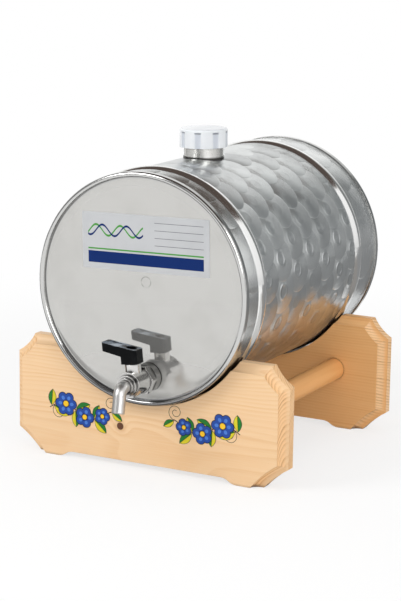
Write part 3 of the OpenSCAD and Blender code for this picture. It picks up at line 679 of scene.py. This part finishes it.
finishes = (
    (swirledSteel(shell), ["barrel_shell"]),
    (endSteel("frontSteel", 0.75, 0.05, True, ends), ["front_end"]),
    (endSteel("backSteel", 0.35, 0.2, False, ends), ["back_end"]),
    (neckSteel(neck), ["filler_neck"]),
    (bossSteel(boss), ["tap_boss"]),
    (tapMetal("tapMetal", tap), ["valve_body", "valve_ball", "valve_stem", "valve_insert", "handle_screw"]),
    (tapMetal("spoutMetal", dict(tap, roughness=0.36)), ["spout"]),
    (capPlastic(cap), ["filler_cap"]),
    (whitePlastic(seats), ["cap_gasket", "inlet_seat", "outlet_seat", "stem_washer"]),
    (sealRubber(seals), ["boss_seal", "stem_seals", "insert_seal"]),
    (blackPlastic(lever), ["handle_lever"]),
    (labelFilm(label), ["label"]),
    (pineWood("frontPine", **pines["frontPine"]), ["front_board"]),
    (pineWood("rearPine", **pines["rearPine"]), ["rear_board"]),
    (pineWood("leftPine", **pines["leftPine"]), ["left_rail"]),
    (pineWood("rightPine", **pines["rightPine"]), ["right_rail"]),
)
for finish, members in finishes:
    for member in members:
        nodes[member].data.materials.clear()
        nodes[member].data.materials.append(finish)
print("finishes on", sum(len(members) for _, members in finishes), "nodes")


# painted sprigs on the front board

sprig = {
    "span": 70 * mm, "rise": 6 * mm, "waves": 1.15,
    # place along the stem, reach, petals
    "flowers": ((0.26, 11.5 * mm, 6), (0.56, 10 * mm, 5), (0.84, 8 * mm, 5)),
    "petalLong": 0.72, "petalWide": {5: 0.86, 6: 0.74}, "heart": 0.5,  # shares of a flower's reach
    "paleStart": 0.62, "paleLong": 0.5, "paleWide": 0.4,  # shares of a petal
    # place along the stem, side, length
    "leaves": ((0.03, 1, 15 * mm), (0.06, -1, 17 * mm), (0.41, 1, 16 * mm), (0.41, -1, 15 * mm),
               (0.70, 1, 14 * mm), (0.71, -1, 16 * mm), (0.98, -1, 12 * mm)),
    "leafShare": 0.5, "leafLean": math.radians(55), "leafSteps": 10, "leafGap": 1.5 * mm, "leafBelly": 0.8,
    "curls": ((0.15, -1), (0.97, 1)), "curlRadius": 5 * mm, "curlTurns": 1.6, "curlSteps": 28,
    "curlOut": 1.6, "curlIn": 1.25,
    "stemWidth": 0.9 * mm, "stemSteps": 40, "curlWidth": 0.5 * mm, "outline": 0.7 * mm,
    "layer": 0.025 * mm, "lift": 0.01 * mm,
    "places": {"leftSprig": (-71 * mm, 47 * mm, 1), "rightSprig": (65 * mm, 49 * mm, -1)},
}
inks = {
    "black": (0.008, 0.008, 0.010, 1), "blue": (0.012, 0.065, 0.36, 1), "pale": (0.06, 0.19, 0.62, 1),
    "green": (0.012, 0.19, 0.025, 1), "lime": (0.66, 0.58, 0.02, 1), "yellow": (0.90, 0.55, 0.02, 1),
}


def makePetalTree():
    tree = bpy.data.node_groups.new("petalRing", "GeometryNodeTree")
    tree.is_modifier = True
    for title, kind in (("Petals", "Int"), ("Reach", "Float"), ("Long", "Float"), ("Wide", "Float"),
                        ("Height", "Float"), ("Paint", "Material")):
        tree.interface.new_socket(title, in_out="INPUT", socket_type="NodeSocket" + kind)
    tree.interface.new_socket("Geometry", in_out="OUTPUT", socket_type="NodeSocketGeometry")
    given = tree.nodes.new("NodeGroupInput").outputs

    def step(kind, **ins):
        return put(tree, "GeometryNode" + kind, ins).outputs[0]

    disc = put(tree, "GeometryNodeMeshCircle", {"Vertices": 28, "Radius": 0.5}, fill_type="NGON").outputs[0]
    petal = step("Transform", Geometry=disc, Scale=joinXYZ(tree, given["Long"], given["Wide"], 1.0),
                 Translation=joinXYZ(tree, given["Reach"]))
    raised = put(tree, "GeometryNodeExtrudeMesh", {"Mesh": petal, "Offset Scale": given["Height"]},
                 mode="FACES")
    joined = tree.nodes.new("GeometryNodeJoinGeometry")
    for half in (raised.outputs[0], step("FlipFaces", Mesh=petal)):
        tree.links.new(half, joined.inputs[0])
    closed = step("MergeByDistance", Geometry=joined.outputs[0], Distance=0.001 * mm)
    index = step("InputIndex")
    turn = times(tree, index, calc(tree, "DIVIDE", 2 * math.pi, given["Petals"]))
    stagger = joinXYZ(tree, 0.0, 0.0, times(tree, index, 0.002 * mm))
    spots = step("Points", Count=given["Petals"], Position=stagger)
    placed = step("InstanceOnPoints", Points=spots, Instance=closed, Rotation=joinXYZ(tree, 0.0, 0.0, turn))
    plain = step("RealizeInstances", Geometry=placed)
    put(tree, "NodeGroupOutput", {0: step("SetMaterial", Geometry=plain, Material=given["Paint"])})
    return tree


def grow(tree, values):
    holder = bpy.data.objects.new("growing", bpy.data.meshes.new("growing"))
    bpy.context.scene.collection.objects.link(holder)
    modifier = holder.modifiers.new("grow", "NODES")
    modifier.node_group = tree
    for item in tree.interface.items_tree:
        if item.in_out == "INPUT":
            modifier[item.identifier] = values[item.name]
    grown = bpy.data.meshes.new_from_object(holder.evaluated_get(bpy.context.evaluated_depsgraph_get()))
    bpy.data.objects.remove(holder)
    return grown


def boardPrint():
    material, tree, shader = startMaterial("boardPrint", {"Specular IOR Level": 0.3})
    ink = put(tree, "ShaderNodeAttribute", attribute_name="ink").outputs["Color"]
    marks = useGroup(tree, handlingGroup, Vector=objectPlace(tree), Size=200.0)
    wearAndSheen = times(tree, marks["Smudge"], 0.3)
    feed(tree, shader, colour=mixColour(tree, wearAndSheen, ink, (0.45, 0.33, 0.2, 1), "SOFT_LIGHT"),
         roughness=scaled(tree, marks["Smudge"], 0.15, 0.38))
    return material


def sideways(way):
    return Vector((-way.y, way.x))


def makeSprig(name, middleX, middleZ, side, paint, petalTree, look):
    bm = bmesh.new()
    inkLayer = bm.loops.layers.float_color.new("ink")

    def stain(first, ink):
        bm.faces.ensure_lookup_table()
        for face in bm.faces[first:]:
            for loop in face.loops:
                loop[inkLayer] = inks[ink]

    def onBoard(point, height):
        return Vector((middleX + side * point[0], boardFace - look["lift"] - height, middleZ + point[1]))

    def plate(outline, layer, ink):
        first = len(bm.faces)
        low = [bm.verts.new(onBoard(point, 0)) for point in outline]
        high = [bm.verts.new(onBoard(point, layer * look["layer"])) for point in outline]
        bm.faces.new(low)
        bm.faces.new(high)
        for i in range(len(outline)):
            j = (i + 1) % len(outline)
            bm.faces.new((low[i], low[j], high[j], high[i]))
        stain(first, ink)

    def ribbon(line, width, layer, ink):
        left, right = [], []
        for i, point in enumerate(line):
            way = (line[min(i + 1, len(line) - 1)] - line[max(i - 1, 0)]).normalized()
            across = sideways(way) * width / 2
            left.append(point + across)
            right.append(point - across)
        plate(left + right[::-1], layer, ink)

    def stemPoint(t):
        return Vector(((t - 0.5) * look["span"], look["rise"] * math.sin(2 * math.pi * look["waves"] * t)))

    def stemWay(t):
        return (stemPoint(t + 0.01) - stemPoint(t - 0.01)).normalized()

    def leafEdge(foot, way, length, margin, hand):
        across = sideways(way) * hand
        steps = look["leafSteps"]
        wide = length * look["leafShare"] / 2
        return [foot + way * (-margin + (length + 2 * margin) * i / steps)
                + across * (wide + margin) * math.sin(math.pi * i / steps) ** look["leafBelly"]
                for i in range(steps + 1)]

    steps = look["stemSteps"]
    ribbon([stemPoint(i / steps) for i in range(steps + 1)], look["stemWidth"], 1, "black")
    for t, hand in look["curls"]:
        foot, points = stemPoint(t), []
        middle = foot + Vector((0, hand * look["curlRadius"] * look["curlOut"]))
        for i in range(look["curlSteps"] + 1):
            share = i / look["curlSteps"]
            turn = -hand * math.pi / 2 + 2 * math.pi * look["curlTurns"] * share
            shrink = look["curlRadius"] * (look["curlOut"] - look["curlIn"] * share)
            points.append(middle + Vector((math.cos(turn), math.sin(turn))) * shrink)
        for start, end in zip(points, points[1:]):
            ribbon([start, end], look["curlWidth"], 2, "black")
    for t, hand, length in look["leaves"]:
        lean = hand * look["leafLean"]
        way = stemWay(t)
        way = way * math.cos(lean) + sideways(way) * math.sin(lean)
        foot = stemPoint(t) + way * look["leafGap"]
        near, far = (leafEdge(foot, way, length, look["outline"], half) for half in (1, -1))
        plate(near + far[-2:0:-1], 3, "black")
        rib = sideways(way) * look["outline"] / 3
        for half, ink in ((1, "green"), (-1, "lime")):
            plate([point + rib * half for point in leafEdge(foot, way, length, 0, half)], 4, ink)
    for t, reach, petals in look["flowers"]:
        seat = onBoard(stemPoint(t), 0)
        flat = Matrix(((side, 0, 0, seat.x), (0, 0, -1, seat.y), (0, 1, 0, seat.z), (0, 0, 0, 1)))
        long, wide = reach * look["petalLong"], reach * look["petalWide"][petals]
        heart = reach * look["heart"]
        margin = look["outline"] * 2
        for layer, ink, count, values in (
                (5, "black", petals, (reach - long / 2, long + margin, wide + margin)),
                (6, "blue", petals, (reach - long / 2, long, wide)),
                (7, "pale", petals, (reach - long * look["paleStart"], long * look["paleLong"],
                                     wide * look["paleWide"])),
                (8, "black", 1, (0.0, heart + margin, heart + margin)),
                (9, "yellow", 1, (0.0, heart, heart))):
            mesh = grow(petalTree, {"Petals": count, "Reach": values[0], "Long": values[1], "Wide": values[2],
                                    "Height": layer * look["layer"], "Paint": paint})
            first = len(bm.faces)
            mesh.transform(flat)
            bm.from_mesh(mesh)
            bpy.data.meshes.remove(mesh)
            stain(first, ink)
    bmesh.ops.recalc_face_normals(bm, faces=bm.faces)
    mesh = bpy.data.meshes.new(name)
    bm.to_mesh(mesh)
    bm.free()
    mesh.materials.append(paint)
    painted = bpy.data.objects.new(name, mesh)
    bpy.context.scene.collection.objects.link(painted)
    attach(painted, "stand")


petalTree = makePetalTree()
printPaint = boardPrint()
for sprigName, (middleX, middleZ, side) in sprig["places"].items():
    makeSprig(sprigName, middleX, middleZ, side, printPaint, petalTree, sprig)
print("sprigs painted")


# studio

studio = {
    "floorSize": 6.0,
    "floorColour": (0.93, 0.93, 0.925, 1),
    "floorGlow": (0.72, 1.0),    # share that shows as plain white, near and far
    "floorFade": (0.35, 0.85),
    "ambient": 0.62,
}
lamps = {
    "keyLamp": {"place": (-1.0, -1.3, 1.35), "size": 0.9, "power": 15.0, "mirrored": True},
    "fillLamp": {"place": (1.5, -1.0, 0.9), "size": 0.9, "power": 9.0, "mirrored": True},
    "topLamp": {"place": (0.1, 0.1, 1.6), "size": 0.8, "power": 3.0, "mirrored": False},
}
lampAim = Vector((0, 0, 0.15))
# grey screens that only the bright metal mirrors, tones by degrees of height
screenTop = ((40, (0.095, 0.073, 0.062)), (60, (0.085, 0.066, 0.058)))
screens = {
    "leftScreen": {"sweep": (-80, -2), "tones": (
        (-12, (1, 1, 1)), (14, (1, 1, 1)), (24, (1, 1, 1)), (34, (0.9, 0.91, 0.9))) + screenTop},
    "middleScreen": {"sweep": (-2, 12), "tones": (
        (-12, (0.7, 0.7, 0.7)), (15, (0.6, 0.61, 0.61)), (25, (0.68, 0.69, 0.69)),
        (34, (0.7, 0.71, 0.71))) + screenTop},
    "backScreen": {"sweep": (12, 42), "tones": (
        (-12, (0.45, 0.45, 0.45)), (4, (0.21, 0.22, 0.225)), (15, (0.195, 0.205, 0.21)),
        (25, (0.185, 0.195, 0.195)), (33, (0.22, 0.23, 0.23))) + screenTop},
    "rightScreen": {"sweep": (42, 120), "tones": (
        (-12, (0.4, 0.4, 0.4)), (5, (0.85, 0.85, 0.85)), (40, (0.95, 0.95, 0.95)))},
    "frontScreen": {"sweep": (-180, -130), "tones": (
        (-3, (0.45, 0.45, 0.45)), (6, (0.3, 0.3, 0.3)), (32, (0.3, 0.3, 0.3)), (75, (0.12, 0.12, 0.12)))},
    "farLeftScreen": {"sweep": (-130, -80), "tones": (
        (-12, (0.2, 0.2, 0.2)), (25, (0.25, 0.25, 0.25)), (40, (0.4, 0.4, 0.4)), (75, (0.12, 0.12, 0.12)))},
}
screenRadius = 2.2
screenSteps = 16
# cloths on the floor for the shell's flank, the rims and the tap, a dark ceiling for the hoops, and a panel
# in front for the tap
# these sheets glow and show only in reflections: painted reflections for the metal
clothRise = 2 * mm
cards = {
    "studioCloth": {"low": (0.1, 0.42, clothRise), "high": (1.7, 2.0, clothRise),
                    "tone": (0.25, 0.255, 0.26, 1)},
    "studioSideCloth": {"low": (0.2, 0.14, clothRise), "high": (1.2, 0.42, clothRise),
                        "tone": (0.27, 0.26, 0.25, 1)},
    "studioFrontCloth": {"low": (0.2, -0.1, clothRise), "high": (1.2, 0.14, clothRise),
                         "tone": (0.6, 0.6, 0.59, 1)},
    "studioUnderCloth": {"low": (-0.14, -0.12, clothRise), "high": (0.2, 0.15, clothRise),
                         "tone": (0.16, 0.15, 0.14, 1)},
    "studioNearCloth": {"low": (-0.3, -0.2, clothRise), "high": (0.15, -0.13, clothRise),
                        "tone": (0.12, 0.12, 0.12, 1)},
    "studioLeftCloth": {"low": (-1.5, -0.25, clothRise), "high": (-0.25, 1.6, clothRise),
                        "tone": (0.06, 0.06, 0.06, 1)},
    "studioCeiling": {"low": (-1.6, -1.0, 1.9), "high": (1.6, 2.0, 1.9), "tone": (0.085, 0.066, 0.058, 1)},
    "studioPanel": {"low": (-0.5, -2.4, 0.5), "high": (1.6, -2.4, 1.5), "tone": (0.10, 0.10, 0.10, 1)},
}


def seenDirectly(tree):
    path = put(tree, "ShaderNodeLightPath").outputs
    seen = calc(tree, "MAXIMUM", path["Is Camera Ray"], path["Is Glossy Ray"])
    return calc(tree, "MAXIMUM", seen, path["Is Transmission Ray"])


def makeWorld(look):
    world = bpy.data.worlds.new("studioWorld")
    world.use_nodes = True
    tree = world.node_tree
    tree.nodes.clear()
    soft = put(tree, "ShaderNodeBackground", {"Color": (1, 1, 1, 1), "Strength": look["ambient"]})
    white = put(tree, "ShaderNodeBackground", {"Color": (1, 1, 1, 1), "Strength": 1.0})
    both = put(tree, "ShaderNodeMixShader", {0: seenDirectly(tree), 1: soft.outputs[0], 2: white.outputs[0]})
    put(tree, "ShaderNodeOutputWorld", {"Surface": both.outputs[0]})
    bpy.context.scene.world = world


def addMesh(name, points, faces):
    mesh = bpy.data.meshes.new(name)
    mesh.from_pydata(points, [], faces)
    added = bpy.data.objects.new(name, mesh)
    bpy.context.scene.collection.objects.link(added)
    return added


def makeFloor(look):
    half = look["floorSize"] / 2
    corners = [(-half, -half, 0), (half, -half, 0), (half, half, 0), (-half, half, 0)]
    floor = addMesh("studioFloor", corners, [(0, 1, 2, 3)])
    fixed = {"Base Color": look["floorColour"], "Roughness": 0.8, "Specular IOR Level": 0.1}
    material, tree, shader = startMaterial("paleFloor", fixed)
    white = put(tree, "ShaderNodeEmission", {"Color": (1, 1, 1, 1), "Strength": 1.0})
    away = vectorCalc(tree, "LENGTH", objectPlace(tree))
    share = times(tree, seenDirectly(tree), fade(tree, away, *look["floorFade"], *look["floorGlow"]))
    both = put(tree, "ShaderNodeMixShader", {0: share, 1: shader.outputs[0], 2: white.outputs[0]})
    tree.links.new(both.outputs[0], tree.nodes["Material Output"].inputs["Surface"])
    floor.data.materials.append(material)


def mirroredOnly(name, points, faces):
    held = addMesh(name, points, faces)
    for hidden in ("visible_camera", "visible_diffuse", "visible_transmission", "visible_shadow"):
        setattr(held, hidden, False)
    material = bpy.data.materials.new(name)
    material.use_nodes = True
    material.node_tree.nodes.clear()
    held.data.materials.append(material)
    return material.node_tree


def glow(tree, colour):
    light = put(tree, "ShaderNodeEmission", {"Color": colour, "Strength": 1.0})
    put(tree, "ShaderNodeOutputMaterial", {"Surface": light.outputs[0]})


def makeScreen(name, look):
    middle = Vector((0, (frontRimY + rearRimY) / 2, axisHeight))
    (start, end), tones = look["sweep"], look["tones"]
    lowest, highest = tones[0][0], tones[-1][0]
    points = []
    for i in range(screenSteps + 1):
        turn = math.radians(start + (end - start) * i / screenSteps)
        for j in range(screenSteps + 1):
            rise = math.radians(lowest + (highest - lowest) * j / screenSteps)
            way = Vector((math.sin(turn) * math.cos(rise), math.cos(turn) * math.cos(rise), math.sin(rise)))
            points.append(middle + way * screenRadius)
    row = screenSteps + 1
    faces = [(i * row + j, i * row + j + 1, (i + 1) * row + j + 1, (i + 1) * row + j)
             for i in range(screenSteps) for j in range(screenSteps)]
    tree = mirroredOnly(name, points, faces)
    way = vectorCalc(tree, "NORMALIZE", vectorCalc(tree, "SUBTRACT", objectPlace(tree), tuple(middle)))
    rise = calc(tree, "DEGREES", calc(tree, "ARCSINE", splitXYZ(tree, way)[2]))
    share = calc(tree, "DIVIDE", calc(tree, "SUBTRACT", rise, lowest), highest - lowest)
    ramp = put(tree, "ShaderNodeValToRGB", {0: share})
    stops = ramp.color_ramp.elements
    while len(stops) < len(tones):
        stops.new(0.5)
    for stop, (degrees, tone) in zip(stops, tones):
        stop.position = (degrees - lowest) / (highest - lowest)
        stop.color = tone + (1,)
    glow(tree, ramp.outputs[0])


def makeCard(name, look):
    (lowX, lowY, lowZ), (highX, highY, highZ) = look["low"], look["high"]
    points = [(lowX, lowY, lowZ), (highX, lowY, lowZ), (highX, highY, highZ), (lowX, highY, highZ)]
    glow(mirroredOnly(name, points, [(0, 1, 2, 3)]), look["tone"])


def makeLamp(name, look):
    lamp = bpy.data.lights.new(name, "AREA")
    lamp.shape = "SQUARE"
    lamp.size = look["size"]
    lamp.energy = look["power"]
    holder = bpy.data.objects.new(name, lamp)
    holder.location = look["place"]
    holder.rotation_euler = (lampAim - Vector(look["place"])).to_track_quat("-Z", "Y").to_euler()
    holder.visible_glossy = look["mirrored"]
    bpy.context.scene.collection.objects.link(holder)


camera = {
    "azimuth": 27.95, "elevation": 12.26, "roll": 0.76,
    "fromRim": (0.8892, -1.5556, 0.3804),  # from the middle of the front rim
    "focalPixels": 1985.9, "tallPixels": 601, "sensor": 36.0,
}


def makeCamera(look):
    azimuth, elevation, roll = (math.radians(look[key]) for key in ("azimuth", "elevation", "roll"))
    level = math.cos(elevation)
    back = Vector((math.sin(azimuth) * level, -math.cos(azimuth) * level, math.sin(elevation)))
    right = Vector((math.cos(azimuth), math.sin(azimuth), 0))
    up = back.cross(right)
    rolledRight = right * math.cos(roll) + up * math.sin(roll)
    rolledUp = up * math.cos(roll) - right * math.sin(roll)
    data = bpy.data.cameras.new("photoCamera")
    data.sensor_width = look["sensor"]
    data.lens = look["sensor"] * look["focalPixels"] / look["tallPixels"]
    holder = bpy.data.objects.new("photoCamera", data)
    turn = Matrix((rolledRight, rolledUp, back)).transposed().to_4x4()
    place = Vector((0, frontRimY, axisHeight)) + Vector(look["fromRim"])
    holder.matrix_world = Matrix.Translation(place) @ turn
    bpy.context.scene.collection.objects.link(holder)
    bpy.context.scene.camera = holder


makeWorld(studio)
makeFloor(studio)
for make, pieces in ((makeScreen, screens), (makeCard, cards), (makeLamp, lamps)):
    for pieceName, look in pieces.items():
        make(pieceName, look)
makeCamera(camera)
bpy.context.scene.view_settings.view_transform = "Standard"
print("studio ready")
